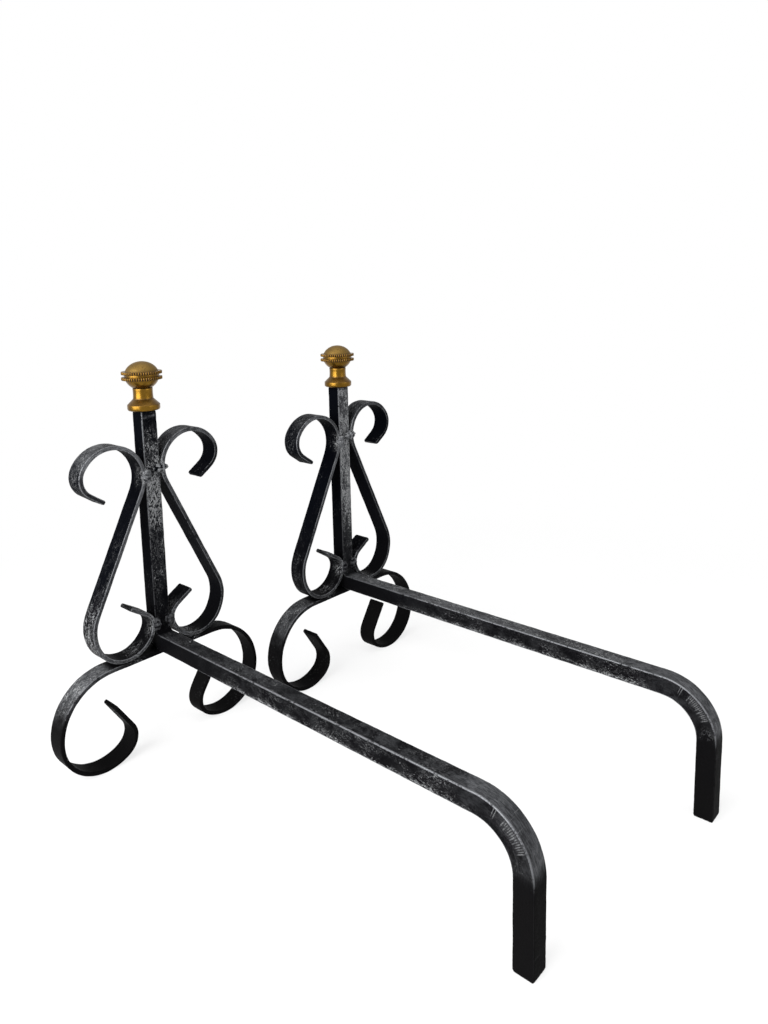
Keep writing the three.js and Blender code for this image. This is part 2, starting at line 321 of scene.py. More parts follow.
def roughness_of_hand(places, seed, amount, size):
    """Small rises and hollows of hand work, as one length for each place."""
    offset = Vector((seed * 7.31, seed * 3.17, seed * 5.53))
    return np.array([
        amount * noise.noise(Vector(p) / size + offset)
        + 0.45 * amount * noise.noise(Vector(p) / (0.34 * size) - offset)
        for p in places])


def smooth_along(values, lengths, reach):
    """Averages values along a line, over about the given reach."""
    weights = np.exp(-((lengths[:, None] - lengths[None, :]) / reach) ** 2)
    return weights @ values / weights.sum(1)


def joined_rings(rings, count, ring=False):
    """Faces between rings of count points. A ring also joins its last ring to its first."""
    faces = []
    for i in range(rings if ring else rings - 1):
        above = (i + 1) % rings
        for j in range(count):
            k = (j + 1) % count
            faces.append((i * count + j, i * count + k, above * count + k, above * count + j))
    return faces


def bar_rings(node, across, section, thickness, line, tangents, turns, lengths):
    """The points of a bar, ring by ring: filed in at its ends and swollen in its bends."""
    low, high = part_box(node)
    centre = (low[across] + high[across]) / 2
    width = high[across] - low[across]
    plane = [axis for axis in (X, Y, Z) if axis != across]
    normals_2d = np.stack([-tangents[:, 1], tangents[:, 0]], 1)
    squeeze = np.ones((len(line), 2))
    squeeze[0] = squeeze[-1] = (1 - 2 * TIP_ROUND / thickness, 1 - 2 * TIP_ROUND / width)
    swell = 1 - BEND_SWELL * np.sign(turns)[:, None] * smooth_along(
        np.abs(turns) > 1, lengths, SWELL_REACH)[:, None] * -section[None, :, 0] / thickness
    out = section[None, :, 0] * squeeze[:, :1]
    wide = section[None, :, 1] * squeeze[:, 1:] * swell
    rings = np.zeros((len(line), len(section), 3))
    for k, axis in enumerate(plane):
        rings[:, :, axis] = line[:, k, None] + normals_2d[:, k, None] * out
    rings[:, :, across] = centre + wide
    return rings.reshape(-1, 3)


def lengths_along(line):
    """How far each point of a line lies from its start."""
    return np.concatenate([[0], np.cumsum(np.linalg.norm(np.diff(line, axis=0), axis=1))])


def swept_bar(name, node, across, section, step, seed, rub_and_sheen, tool_marks=None):
    """A bent bar with the given section along the centre line of its node in the frame.

    finish gives the rubbed specks, the thin pewter layer that also paints a sheen, and the edge
    lines for each point.
    tool_marks gives the depth of the jaw marks that were left while it was bent.
    """
    middle, sideways, thickness = centre_line(node, across)
    if middle[0][1] < middle[-1][1]:
        middle, sideways = middle[::-1], -sideways[::-1]
    fine = FINE_STEP if tool_marks else step
    line, tangents, turns = even_line(middle, sideways, step, fine)
    lengths = lengths_along(line)
    count = len(section)
    rings = bar_rings(node, across, section, thickness, line, tangents, turns, lengths)
    ends = [tuple(range(count))[::-1], tuple(range(len(rings) - count, len(rings)))]
    piece = new_piece(name, rings, joined_rings(len(line), count) + ends)
    mesh = piece.data
    normals = np.array([v.normal[:] for v in mesh.vertices])
    edge = np.tile(section[:, 2], len(line))
    edge[:count] = edge[-count:] = 1.0
    along = np.repeat(lengths, count)
    near_tip = np.exp(-(np.minimum(along, lengths[-1] - along) / TIP_REACH) ** 2)
    lift = roughness_of_hand(rings, seed, HAND_WAVE, WAVE_LENGTH)
    chips = np.clip(roughness_of_hand(rings, seed + 2, 1.0, CHIP_LENGTH), 0, 1)
    lift -= edge * (CHIP_DEPTH + TIP_CHIP_DEPTH * near_tip) * chips
    marks = np.zeros(len(rings))
    if tool_marks:
        marks = tool_marks(rings, normals)
        lift -= MARK_DEPTH * marks
    convex = -np.tile(section[:, 0] / thickness * 2, len(line)) * np.repeat(
        smooth_along(np.sign(turns), lengths, RUB_REACH), count)
    specks, film, edge_lines = rub_and_sheen(rings, normals, convex)
    mesh.vertices.foreach_set("co", (rings + normals * lift[:, None]).ravel())
    give_values(mesh, "edge", edge * edge_lines)
    give_values(mesh, "specks", specks)
    give_values(mesh, "film", film)
    give_values(mesh, "marks", marks)
    give_values(mesh, "run", along + 0.31 * seed)
    give_values(mesh, "round", np.tile(lengths_along(section[:, :2]), len(line)))
    mesh.update()
    return piece


def new_piece(name, points, faces, **values):
    """A smooth-shaded mesh object with its faces pointing out, and values on its points."""
    mesh = bpy.data.meshes.new(name)
    mesh.from_pydata([tuple(p) for p in points], [], faces)
    for label, numbers in values.items():
        give_values(mesh, label, numbers)
    bm = bmesh.new()
    bm.from_mesh(mesh)
    bmesh.ops.remove_doubles(bm, verts=bm.verts, dist=0.002 * MM)
    bmesh.ops.recalc_face_normals(bm, faces=bm.faces)
    bm.to_mesh(mesh)
    bm.free()
    for polygon in mesh.polygons:
        polygon.use_smooth = True
    mesh.update()
    piece = bpy.data.objects.new(name, mesh)
    bpy.context.scene.collection.objects.link(piece)
    return piece


def give_values(mesh, name, values):
    layer = mesh.attributes.new(name, "FLOAT", "POINT")
    layer.data.foreach_set("value", np.asarray(values, np.float32))


# ---------- Where the black is rubbed through, and where sheen and highlight are painted ---

def rise(values, low, high):
    """0 below low, 1 above high."""
    s = np.clip((values - low) / (high - low), 0, 1)
    return s * s * (3 - 2 * s)


def bar_rub_and_sheen(side):
    """The post is rubbed most round the upper welds, the rail on top, the leg hardly at all. The
    rail's top, the rear bend's faces turned up or to the rear, and the rubbed rear of the post also
    get a painted sheen.
    """
    post = post_place(side)
    rail_top = log_rest_height(side)
    strength, least, sheen_veil = POST_RUB_AND_SHEEN[side]

    def rub_and_sheen(place, normal, _convex):
        x, y, z = (place - post).T
        rear, front = np.clip(normal[:, Y], 0, 1), np.clip(-normal[:, Y], 0, 1)
        up, out = np.clip(normal[:, Z], 0, 1), np.abs(normal[:, X])
        to_rear = y.max() - y
        post_part = 1 - rise(y, *POST_REAR)
        leg_part = (1 - rise(to_rear, *LEG_FRONT)) * (1 - rise(z, *LEG_TOP))
        bend_part = (1 - rise(to_rear, *BEND_FRONT)) * rise(z, *BEND_FOOT)
        rail_part = (1 - post_part) * (1 - leg_part)
        far_part = rise(y, *RAIL_FAR)
        heights, levels = zip(*POST_RUBBED)
        on_post = np.maximum(np.interp(z, heights, levels) * strength,
                             least * rise(z, *POST_UPPER))
        specks = post_part * on_post * (rear + 0.6 * front + 0.06 * out)
        low_edge = rise(rail_top - z, *RAIL_FOOT)
        on_rail = 0.9 * RAIL_RUB_AND_SHEEN[side] * up + (0.26 + 0.52 * low_edge) * out * far_part
        specks += rail_part * (1 - bend_part) * on_rail
        specks += bend_part * (0.10 * np.maximum(up, rear) + 0.12 * out)
        specks *= 1 - 0.8 * leg_part
        # Painted sheen: the pewter layer goes on the rail's top, on the rear bend's faces turned up
        # or to the rear, and over the rubbed rear of the post, which also carries a bright smear.
        film = rail_part * (1 - bend_part) * (RAIL_RUB_AND_SHEEN[side] * up + 0.10 * out * far_part)
        film += 0.95 * bend_part * np.maximum(up, rear)
        film += 0.20 * bend_part * out + sheen_veil * post_part * rear * on_post
        smear = np.exp(-((z - SMEAR_HEIGHT + SMEAR_SLOPE * x) / SMEAR_WIDTH) ** 2)
        film += 0.9 * post_part * rear * smear
        film *= 1 - 0.95 * leg_part
        edge_lines = post_part * (0.45 + 0.20 * rise(z, 0.15, 0.30))
        edge_lines += rail_part * (0.55 + 0.20 * far_part) + 0.35 * leg_part
        return np.clip(specks, 0, 1), film, edge_lines

    return rub_and_sheen


def near_welds(place, side):
    """1 at the middle of a side's welds and 0 well away, where the wire brush has been."""
    total = np.zeros(len(place))
    for node in frame["nodes"]:
        if node.startswith(side) and node.endswith("weld") and "corner" not in node:
            low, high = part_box(node)
            away = np.linalg.norm(place - np.array((low + high) / 2), axis=1)
            total = np.maximum(total, np.exp(-(away / BRUSHED_REACH) ** 2))
    return total


def scroll_rub_and_sheen(node):
    """A side scroll: narrow faces rubbed grey with a painted sheen, the crown of the curl given
    pewter with a painted sheen strongest on faces turned up, insides black.
    """
    curl, belly, narrow = SCROLL_RUB_AND_SHEEN[node]
    side = node.split("_")[0]
    post_x = post_place(side)[X]

    def rub_and_sheen(place, normal, convex):
        side_face = np.abs(normal[:, Y])
        flat = 1 - side_face
        z = place[:, Z]
        below_top = z.max() - z
        in_curl = 1 - rise(below_top, *CURL_FOOT)
        low = 1 - rise(z, *BELLY_TOP)
        outward = rise(convex, 0.3, 0.9)
        outside = rise(convex, -0.4, 0.5)
        round_curl = outward * in_curl
        up = rise(normal[:, Z], 0.05, 0.95)
        specks = 0.25 * side_face * narrow * (1 + 0.5 * low)
        specks += flat * ((0.20 + 0.30 * curl) * round_curl + belly * outside * low + 0.05)
        # Painted sheen: the pewter layer lies on the crown of the curl, most where it faces up, and
        # on the narrow faces.
        film = flat * round_curl * curl * (0.22 + 0.78 * up)
        film += side_face * narrow * (1 - 0.55 * round_curl * (1 - up)) * (1 - 0.45 * low)
        specks += 0.90 * near_welds(place, side)
        # The hanging outer part of the curl, turned sideways and down, gets much less painted sheen
        # and fewer specks.
        below_crown = rise(below_top, *CURL_CROWN)
        hanging = in_curl * below_crown * rise(np.abs(place[:, X] - post_x), *CURL_OUT)
        film *= 1 - 0.75 * hanging
        specks *= 1 - 0.45 * hanging
        edge_lines = 0.35 + 0.4 * np.maximum(round_curl, narrow * side_face)
        return np.clip(specks, 0, 1), film, edge_lines

    return rub_and_sheen


def foot_rub_and_sheen(node):
    """The foot strip: the shoulders are rubbed, and the one on the lamp's side is painted much
    lighter as a painted highlight, with painted sheen on faces turned up; the rest is black.
    """
    sunny, shady = FOOT_RUB_AND_LIT_SIDE[node]
    side = node.split("_")[0]
    post = post_place(side)

    def rub_and_sheen(place, normal, convex):
        x, _, z = (place - post).T
        # Painted highlight: the shoulder on the +X side, towards the window lamp, gets far more rub,
        # sheen and edge line than the one on the -X side.
        share = np.where(x > 0, sunny, shady)
        side_face = np.abs(normal[:, Y])
        flat = 1 - side_face
        outward = rise(convex, 0.3, 0.9)
        shoulder = rise(z, *SHOULDER_RISE) * rise(np.abs(x), *SHOULDER_OUT)
        up = rise(normal[:, Z], -0.1, 0.8)
        specks = share * shoulder * (0.90 * flat * outward * up + 0.45 * side_face)
        specks += 0.90 * near_welds(place, side)
        film = share * shoulder * (flat * outward * (0.15 + 0.75 * up) + 0.45 * side_face)
        edge_lines = 0.18 + 0.72 * share * shoulder
        return np.clip(specks, 0, 1), film, edge_lines

    return rub_and_sheen


def jaw_marks(side):
    """Short grooves in both side faces of the rear bend, and two longer drag marks."""
    post = post_place(side)
    _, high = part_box(f"{side}_main_bar")
    rail_top = log_rest_height(side)
    reach = high.y - post[Y]
    pivot = np.array([reach - BEND_OUTER, rail_top - BEND_OUTER])

    def marks(place, normal):
        _, y, z = (place - post).T
        offset = np.stack([y, z], 1) - pivot
        radius = np.linalg.norm(offset, axis=1)
        angle = np.degrees(np.arctan2(offset[:, 1], offset[:, 0]))
        depth_in = BEND_OUTER - radius
        on_side = rise(np.abs(normal[:, X]), 0.6, 0.95)
        total = np.zeros(len(place))
        for k in range(MARK_COUNT):
            length = MARK_LENGTH + MARK_VARIES * math.sin(2.7 * k + 1)
            total = np.maximum(total, groove(angle, MARK_START + MARK_SPACING * k, MARK_WIDTH,
                                             depth_in, MARK_INSET, length))
        for at, length in DRAG_MARKS:
            total = np.maximum(total, groove(angle, at, DRAG_WIDTH, depth_in, DRAG_INSET, length))
        return total * on_side

    def groove(angle, at, width, depth_in, start, length):
        inside = rise(depth_in, start - 0.8 * MM, start) * (
            1 - rise(depth_in, start + 0.7 * length, start + length))
        return np.exp(-((angle - at) / width) ** 2) * inside

    return marks


# ---------- Turned pieces ----------

def arc_points(centre, radius, start, end, count):
    """Points of an arc in the radius-height plane, angles in degrees."""
    return [(centre[0] + radius * math.cos(math.radians(start + (end - start) * k / count)),
             centre[1] + radius * math.sin(math.radians(start + (end - start) * k / count)))
            for k in range(count + 1)]


def turned_piece(name, profile, axis, base, facets, shape=None, grime=None, matte_from=1.0,
                 ring=False):
    """Turns a profile of (radius, height) about an upright axis.

    The profile starts and ends on the axis, or closes on itself as a ring with an open bore.
    shape may change a radius, grime says from 0 to 1 how far a place is darkened brown by patina and
    by painted shade in its grooves and gaps, and what is higher than matte_from has a matte skin.
    """
    points, darkening, matte = [], [], []
    for radius, height in profile:
        for k in range(facets):
            angle = 2 * math.pi * k / facets
            r = shape(radius, height, angle) if shape else radius
            points.append((axis[0] + r * math.cos(angle), axis[1] + r * math.sin(angle),
                           base + height))
            darkening.append(grime(radius, height, angle) if grime else 0.0)
            matte.append(min(1.0, max(0.0, (height - matte_from) / MATTE_FADE)))
    faces = joined_rings(len(profile), facets, ring)
    return new_piece(name, points, faces, grime=darkening, matte=matte)


def near(value, place, spread):
    return math.exp(-((value - place) / spread) ** 2)


def collar(side):
    """Flange with a rounded rim, a cone, and a slightly waisted neck."""
    axis, bottom, top, flange = middle_of(f"{side}_finial_collar")
    height = top - bottom
    rim_low, rim_high = 2.0 * MM, 5.7 * MM
    cone_top = 10.6 * MM
    neck = 9.3 * MM
    profile = [(FINIAL_BORE, 0.0)]
    profile += arc_points((flange - rim_low, rim_low), rim_low, -90, 0, 7)
    profile += arc_points((flange - 1.3 * MM, rim_high - 0.9 * MM), 1.3 * MM, 0, 50, 5)
    profile += [(neck + 1.0 * MM, cone_top - 0.6 * MM)]
    profile += arc_points((neck + 1.0 * MM, cone_top + 0.7 * MM), 1.0 * MM, 235, 182, 4)
    for k in range(1, 9):
        s = k / 8
        waist = 0.18 * MM * math.sin(math.pi * s)
        profile.append((neck - 0.1 * MM * s - waist,
                        cone_top + 0.8 * MM + s * (height - cone_top - 1.1 * MM)))
    profile += [(neck - 0.5 * MM, height), (FINIAL_BORE, height)]

    # Brown patina and painted shade: dark inside the bore, and in the creases at the cone's top, the
    # rim, the top and the foot.
    def grime(radius, place, _angle):
        if radius < neck - 0.4 * MM:
            return 1.0
        return max(0.9 * near(place, cone_top + 0.1 * MM, 1.0 * MM),
                   0.7 * near(place, rim_high, 0.7 * MM),
                   0.6 * near(place, height, 0.8 * MM), 0.5 * near(place, 0, 0.8 * MM))

    return turned_piece(f"{side}_collar_turned", profile, axis, bottom, TURNED_FACETS,
                        grime=grime, ring=True)


def knob_ball(side):
    """Ball with a flattened dome, and a blind bore that leaves room for the stud."""
    axis, bottom, top, _ = middle_of(f"{side}_finial_knob")
    _, _, stud_top, _ = middle_of(f"{side}_finial_stud")
    depth = stud_top - bottom + 0.6 * MM
    height = top - bottom
    lower_disc, upper_disc = DISC_HEIGHTS["lower"], DISC_HEIGHTS["upper"]
    middle = (lower_disc + upper_disc) / 2
    start = math.asin(BALL_FOOT / BALL)
    drop = middle / math.cos(start)
    profile = [(0.0, depth), (FINIAL_BORE, depth), (FINIAL_BORE, 0.0), (BALL_FOOT, 0.0)]
    for k in range(1, 33):
        a = start + (math.pi / 2 - start) * k / 32
        profile.append((BALL * math.sin(a), middle - drop * math.cos(a)))
    for k in range(1, 41):
        a = math.pi / 2 * (1 + k / 40)
        profile.append((max(0.0, BALL * math.sin(a)), middle - (height - middle) * math.cos(a)))

    # Brown patina and painted shade: dark in the bore and on the flat at the foot, between the
    # discs, beside each disc and at the foot of the ball.
    def grime(radius, place, _angle):
        if radius < BALL_FOOT + 0.3 * MM and place < 1 * MM:
            return 0.9
        return max(0.55 * near(place, middle, 0.8 * MM),
                   0.55 * near(place, upper_disc + 1.6 * MM, 1.0 * MM),
                   0.65 * near(place, lower_disc - 1.6 * MM, 1.0 * MM),
                   0.5 * near(place, 0, 1.4 * MM))

    return turned_piece(f"{side}_knob_ball", profile, axis, bottom, TURNED_FACETS, grime=grime,
                        matte_from=upper_disc)


def knob_disc(side, label):
    """A thin disc round the middle of the ball, with knurled teeth on its rim."""
    axis, bottom, _, disc = middle_of(f"{side}_finial_knob")
    rim = disc - KNURL_LENGTH
    root = BALL - 1.2 * MM
    corner = 0.4 * MM
    under, over = DISC_HEIGHTS[label] - DISC_HALF, DISC_HEIGHTS[label] + DISC_HALF
    profile = [(root, under), (BALL, under), (rim, under)]
    profile += arc_points((disc - corner, under + corner), corner, -90, 0, 3)
    profile += arc_points((disc - corner, over - corner), corner, 0, 90, 3)
    profile += [(rim, over), (BALL, over), (root, over)]

    def tooth_gap(radius, angle):
        wave = 0.5 - 0.5 * math.cos(KNURL_TEETH * angle)
        return wave ** 0.8 * min(1.0, max(0.0, radius - rim) / (1.2 * MM))

    def tooth(radius, _height, angle):
        return radius - KNURL_DEPTH * tooth_gap(radius, angle)

    # Painted shade between the teeth and where the disc meets the ball, with brown patina.
    def grime(radius, _height, angle):
        at_ball = 1 - min(1.0, max(0.0, (radius - BALL) / (1.4 * MM)))
        return max(1.7 * tooth_gap(radius, angle), 0.8 * at_ball)

    return turned_piece(f"{side}_knob_disc_{label}", profile, axis, bottom, KNURL_TEETH * 6,
                        tooth, grime, ring=True)


def stud(side):
    """Threaded stud: the thread is a rise and fall of the radius that climbs as it turns."""
    axis, bottom, top, radius = middle_of(f"{side}_finial_stud")
    length = top - bottom
    chamfer = 1 * MM
    rings = int(length / (THREAD_PITCH / 6))
    profile = [(0.0, 0.0), (radius - chamfer, 0.0)]
    profile += [(radius, chamfer + (length - 2 * chamfer) * k / rings) for k in range(rings + 1)]
    profile += [(radius - chamfer, length), (0.0, length)]

    def thread(r, height, angle):
        if r < radius - chamfer / 2:
            return r
        phase = (height / THREAD_PITCH - angle / (2 * math.pi)) % 1.0
        return r - THREAD_DEPTH * abs(2 * phase - 1)

    return turned_piece(f"{side}_stud_thread", profile, axis, bottom, TURNED_FACETS // 2, thread)


# ---------- Welds ----------

def weld_bead(node, seed):
    """A bead of weld metal: a lumpy form with ripples where the pool froze step by step.

    The upper bead on the +X side of a post is a smooth upright pad, and the one on the -X
    side lies across the corner as a rippled ridge.
    """
    low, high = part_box(node)
    centre = (low + high) / 2
    half = (high - low) / 2
    stretch, roughness = (1.0, 1.0, 1.0), 1.0
    on_top = "top_weld" in node
    if on_top and centre.x > post_place(node.split("_")[0])[X]:
        stretch, roughness = (1.15, 1.05, 0.85), 0.5
    elif on_top:
        stretch = (1.75, 1.05, 0.50)
    lengths = [half[a] * stretch[a] + 2 * SEAT_GAP for a in (X, Y, Z)]
    long_axis = lengths.index(max(lengths))
    bm = bmesh.new()
    bmesh.ops.create_icosphere(bm, subdivisions=5, radius=1.0)
    points, crests = [], []
    for v in bm.verts:
        d = v.co
        bow = 1.2 * (d[(long_axis + 1) % 3] ** 2)
        lump = 1 + 0.07 * roughness * math.sin(9.0 * d[long_axis] + bow + seed)
        lump += 0.20 * roughness * noise.noise(d * 1.9 + Vector((seed, 2 * seed, 0)))
        lump += 0.11 * roughness * noise.noise(d * 5.5 - Vector((0, seed, seed)))
        points.append([centre[a] + d[a] * lengths[a] * lump for a in (X, Y, Z)])
        crests.append(lump)
    faces = [tuple(v.index for v in f.verts) for f in bm.faces]
    bm.free()
    # The crests of the lumps are rubbed and given the pewter layer, which also paints a sheen on
    # them; the hollows stay black.
    crest = rise(np.array(crests), 0.86, 1.05)
    weight = 1.0 if on_top else 0.65 if "loop" in node else 0.4
    return new_piece(node + "_bead", points, faces, specks=0.9 * weight * crest,
                     film=1.3 * weight * crest)


# ---------- Shader nodes ----------

def feed(tree, socket, value):
    """Gives a socket a plain value, or links it to the output of another node."""
    if isinstance(value, bpy.types.NodeSocket):
        tree.links.new(value, socket)
    else:
        socket.default_value = value


def add(tree, kind, **settings):
    """A node with its properties set and its inputs fed. An underscore stands for a space."""
    node = tree.nodes.new(kind)
    for key, value in settings.items():
        if hasattr(node, key):
            setattr(node, key, value)
        else:
            feed(tree, node.inputs[key.replace("_", " ")], value)
    return node


def math_node(tree, operation, *values, clamp=False):
    """The output of a Math node that is fed by sockets or plain numbers."""
    node = add(tree, "ShaderNodeMath", operation=operation, use_clamp=clamp)
    for socket, value in zip(node.inputs, values):
        feed(tree, socket, value)
    return node.outputs[0]


def plus(tree, a, b, clamp=False):
    return math_node(tree, "ADD", a, b, clamp=clamp)


def times(tree, a, b, clamp=False):
    return math_node(tree, "MULTIPLY", a, b, clamp=clamp)


def larger(tree, a, b, clamp=False):
    return math_node(tree, "MAXIMUM", a, b, clamp=clamp)


def weighted(tree, a, share_a, b, share_b):
    """Two values added up, each by its share."""
    return plus(tree, times(tree, a, share_a), times(tree, b, share_b))


def mix_value(tree, factor, a, b):
    """a where factor is 0 and b where it is 1."""
    return plus(tree, times(tree, factor, b - a), a)


def mix_colour(tree, factor, a, b):
    """The colour a where factor is 0 and b where it is 1."""
    node = add(tree, "ShaderNodeMix", data_type="RGBA")
    for index, value in ((0, factor), (6, a), (7, b)):
        feed(tree, node.inputs[index], value)
    return node.outputs[2]


def ramp(tree, value, low, high):
    """0 below low, 1 above high, smooth in between."""
    return add(tree, "ShaderNodeMapRange", interpolation_type="SMOOTHSTEP", Value=value,
               From_Min=low, From_Max=high).outputs["Result"]


def noise_value(tree, place, scale, detail=2.0, rough=0.5, bent=0.0):
    """Cloudy noise. scale is the number of clouds in a metre, and bent curls their outlines."""
    return add(tree, "ShaderNodeTexNoise", Vector=place, Scale=scale, Detail=detail,
               Roughness=rough, Distortion=bent).outputs["Fac"]


def thin_lines(tree, value, middle, sharpness):
    """1 along the lines where a value passes through the middle one, fading to both sides."""
    away = math_node(tree, "ABSOLUTE", math_node(tree, "SUBTRACT", value, middle))
    return math_node(tree, "SUBTRACT", 1.0, times(tree, away, sharpness), clamp=True)


def attribute(tree, name):
    """A value that was given to the points of the mesh."""
    return add(tree, "ShaderNodeAttribute", attribute_name=name).outputs["Fac"]


def object_place(tree):
    return tree.nodes.new("ShaderNodeTexCoord").outputs["Object"]


def place_from(tree, **parts):
    """A place put together from the parts X, Y and Z."""
    return add(tree, "ShaderNodeCombineXYZ", **parts).outputs[0]


def bar_place(tree):
    """Places on a bar, unrolled: the length along it and the way round it."""
    return place_from(tree, X=attribute(tree, "run"), Y=attribute(tree, "round"))


def height_of(tree, place):
    """How high a place is above the hearth."""
    split = tree.nodes.new("ShaderNodeSeparateXYZ")
    feed(tree, split.inputs[0], place)
    return split.outputs["Z"]


def stretched(tree, place, along):
    """The same places with the first direction, the one along a bar, scaled by along."""
    node = add(tree, "ShaderNodeVectorMath", operation="MULTIPLY")
    feed(tree, node.inputs[0], place)
    feed(tree, node.inputs[1], (along, 1.0, 1.0))
    return node.outputs[0]


# ---------- Shared effects ----------

def new_group(name, inputs, outputs):
    """An empty shader group. An input is (name, default), and three numbers make a vector."""
    tree = bpy.data.node_groups.new(name, "ShaderNodeTree")
    for label, default in inputs:
        kind = "NodeSocketVector" if isinstance(default, tuple) else "NodeSocketFloat"
        socket = tree.interface.new_socket(label, in_out="INPUT", socket_type=kind)
        socket.default_value = default
    for label in outputs:
        tree.interface.new_socket(label, in_out="OUTPUT", socket_type="NodeSocketFloat")
    start = tree.nodes.new("NodeGroupInput")
    end = tree.nodes.new("NodeGroupOutput")
    return tree, start, end


def speck_group():
    """Rubbed-through pewter: a grey mottle full of curled streaks, with black left in holes."""
    tree, start, end = new_group("pewter mottle", [("Place", (0, 0, 0)), ("Cover", 0.5)],
                                 ["Mask", "Tone"])
    place = stretched(tree, start.outputs["Place"], 0.55)
    cover = start.outputs["Cover"]
    patches = ramp(tree, noise_value(tree, place, 48.0, 2.0, 0.5), 0.40, 0.60)
    clouds = ramp(tree, noise_value(tree, place, 130.0, 2.0, 0.55, 0.5), 0.36, 0.60)
    streaks = noise_value(tree, place, 380.0, 3.0, 0.62, 1.6)
    grains = noise_value(tree, place, 1050.0, 2.0, 0.6, 0.6)
    wipes = noise_value(tree, place, 210.0, 2.0, 0.55, 2.2)
    uneven = weighted(tree, patches, 0.45, clouds, 0.45)
    local = times(tree, cover, plus(tree, uneven, mix_value(tree, cover, 0.05, 0.40)),
                  clamp=True)
    low = mix_value(tree, local, 0.64, 0.43)
    mask = ramp(tree, weighted(tree, streaks, 0.74, grains, 0.26), low, plus(tree, low, 0.08))
    mask = times(tree, mask, ramp(tree, local, 0.06, 0.26))
    curls = times(tree, thin_lines(tree, wipes, 0.5, 30.0), ramp(tree, local, 0.05, 0.40))
    feed(tree, end.inputs["Mask"], larger(tree, mask, times(tree, curls, 0.55)))
    ridges = thin_lines(tree, streaks, 0.55, 18.0)
    feed(tree, end.inputs["Tone"],
         weighted(tree, ridges, 0.55, ramp(tree, grains, 0.44, 0.60), 0.45))
    return tree


def film_group():
    """A thin cloudy layer of pewter, with curled wipe marks where a cloth has gone over it. It also
    paints a grey sheen, in place of the lamps' reflection, on the faces where it is laid.
    """
    tree, start, end = new_group("pewter film", [("Place", (0, 0, 0)), ("Cover", 0.5)],
                                 ["Mask"])
    place = stretched(tree, start.outputs["Place"], 0.8)
    brushed = stretched(tree, start.outputs["Place"], 0.22)
    cover = start.outputs["Cover"]
    patches = ramp(tree, noise_value(tree, place, 30.0, 3.0, 0.6, 0.6), 0.38, 0.60)
    clouds = ramp(tree, noise_value(tree, place, 85.0, 3.0, 0.6, 0.8), 0.36, 0.62)
    clouds = times(tree, clouds, mix_value(tree, patches, 0.35, 1.0))
    weave = ramp(tree, noise_value(tree, brushed, 900.0, 3.0, 0.65), 0.38, 0.62)
    curls = thin_lines(tree, noise_value(tree, place, 120.0, 2.0, 0.5, 2.5), 0.5, 22.0)
    body = plus(tree, mix_value(tree, cover, -0.10, 0.55), times(tree, clouds, 0.75),
                clamp=True)
    body = times(tree, body, mix_value(tree, weave, 0.45, 1.0))
    body = plus(tree, body, times(tree, curls, mix_value(tree, patches, 0.10, 0.30)))
    feed(tree, end.inputs["Mask"], times(tree, body, cover, clamp=True))
    return tree


def edge_group():
    """A thin worn line along the corners of a bar, broken up by nicks and dark chips."""
    tree, start, end = new_group("edge wear", [("Edge", 0.0), ("Amount", 0.6)], ["Mask"])
    place = object_place(tree)
    breaks = noise_value(tree, place, 80.0, 3.0, 0.6)
    nicks = noise_value(tree, place, 520.0, 2.0, 0.6)
    low = mix_value(tree, start.outputs["Amount"], 0.62, 0.40)
    worn = ramp(tree, weighted(tree, breaks, 0.55, nicks, 0.45), low, plus(tree, low, 0.10))
    on_edge = ramp(tree, start.outputs["Edge"], 0.30, 0.80)
    feed(tree, end.inputs["Mask"], times(tree, worn, on_edge))
    return tree


def surface_group():
    """Height of a rolled and hand-worked surface: soft waves, scale pits and fine grain."""
    tree, start, end = new_group("worked surface", [("Waves", 1.0), ("Pits", 1.0)],
                                 ["Height"])
    place = object_place(tree)
    waves = noise_value(tree, place, 160.0, 2.0, 0.5)
    pits = ramp(tree, noise_value(tree, place, 620.0, 3.0, 0.6), 0.34, 0.48)
    grain = noise_value(tree, place, 2600.0, 2.0, 0.5)
    height = weighted(tree, waves, start.outputs["Waves"],
                      times(tree, pits, 0.45), start.outputs["Pits"])
    feed(tree, end.inputs["Height"], plus(tree, height, times(tree, grain, 0.16)))
    return tree


def scratch_group():
    """Thin scratches in a few directions, where something has dragged across the metal."""
    tree, start, end = new_group("scratches", [("Amount", 0.5)], ["Mask"])
    place = object_place(tree)
    total = 0.0
    for angle, stretch in ((35, 28.0), (-20, 34.0), (80, 22.0)):
        turn = add(tree, "ShaderNodeMapping", Vector=place, Scale=(stretch, 900.0, 900.0),
                   Rotation=[math.radians(angle * share) for share in (1, 2, -1)])
        lines = noise_value(tree, turn.outputs["Vector"], 1.0, 1.0, 0.4)
        total = larger(tree, total, ramp(tree, lines, 0.70, 0.76))
    patches = ramp(tree, noise_value(tree, place, 34.0, 2.0), 0.54, 0.66)
    mask = times(tree, times(tree, total, patches), start.outputs["Amount"])
    feed(tree, end.inputs["Mask"], mask)
    return tree


GROUPS = {"specks": speck_group(), "film": film_group(), "edge": edge_group(),
          "surface": surface_group(), "scratch": scratch_group()}


def use_group(tree, name, **values):
    """The outputs of a shared group, placed with its own values or sockets."""
    return add(tree, "ShaderNodeGroup", node_tree=GROUPS[name], **values).outputs


# ---------- Materials ----------

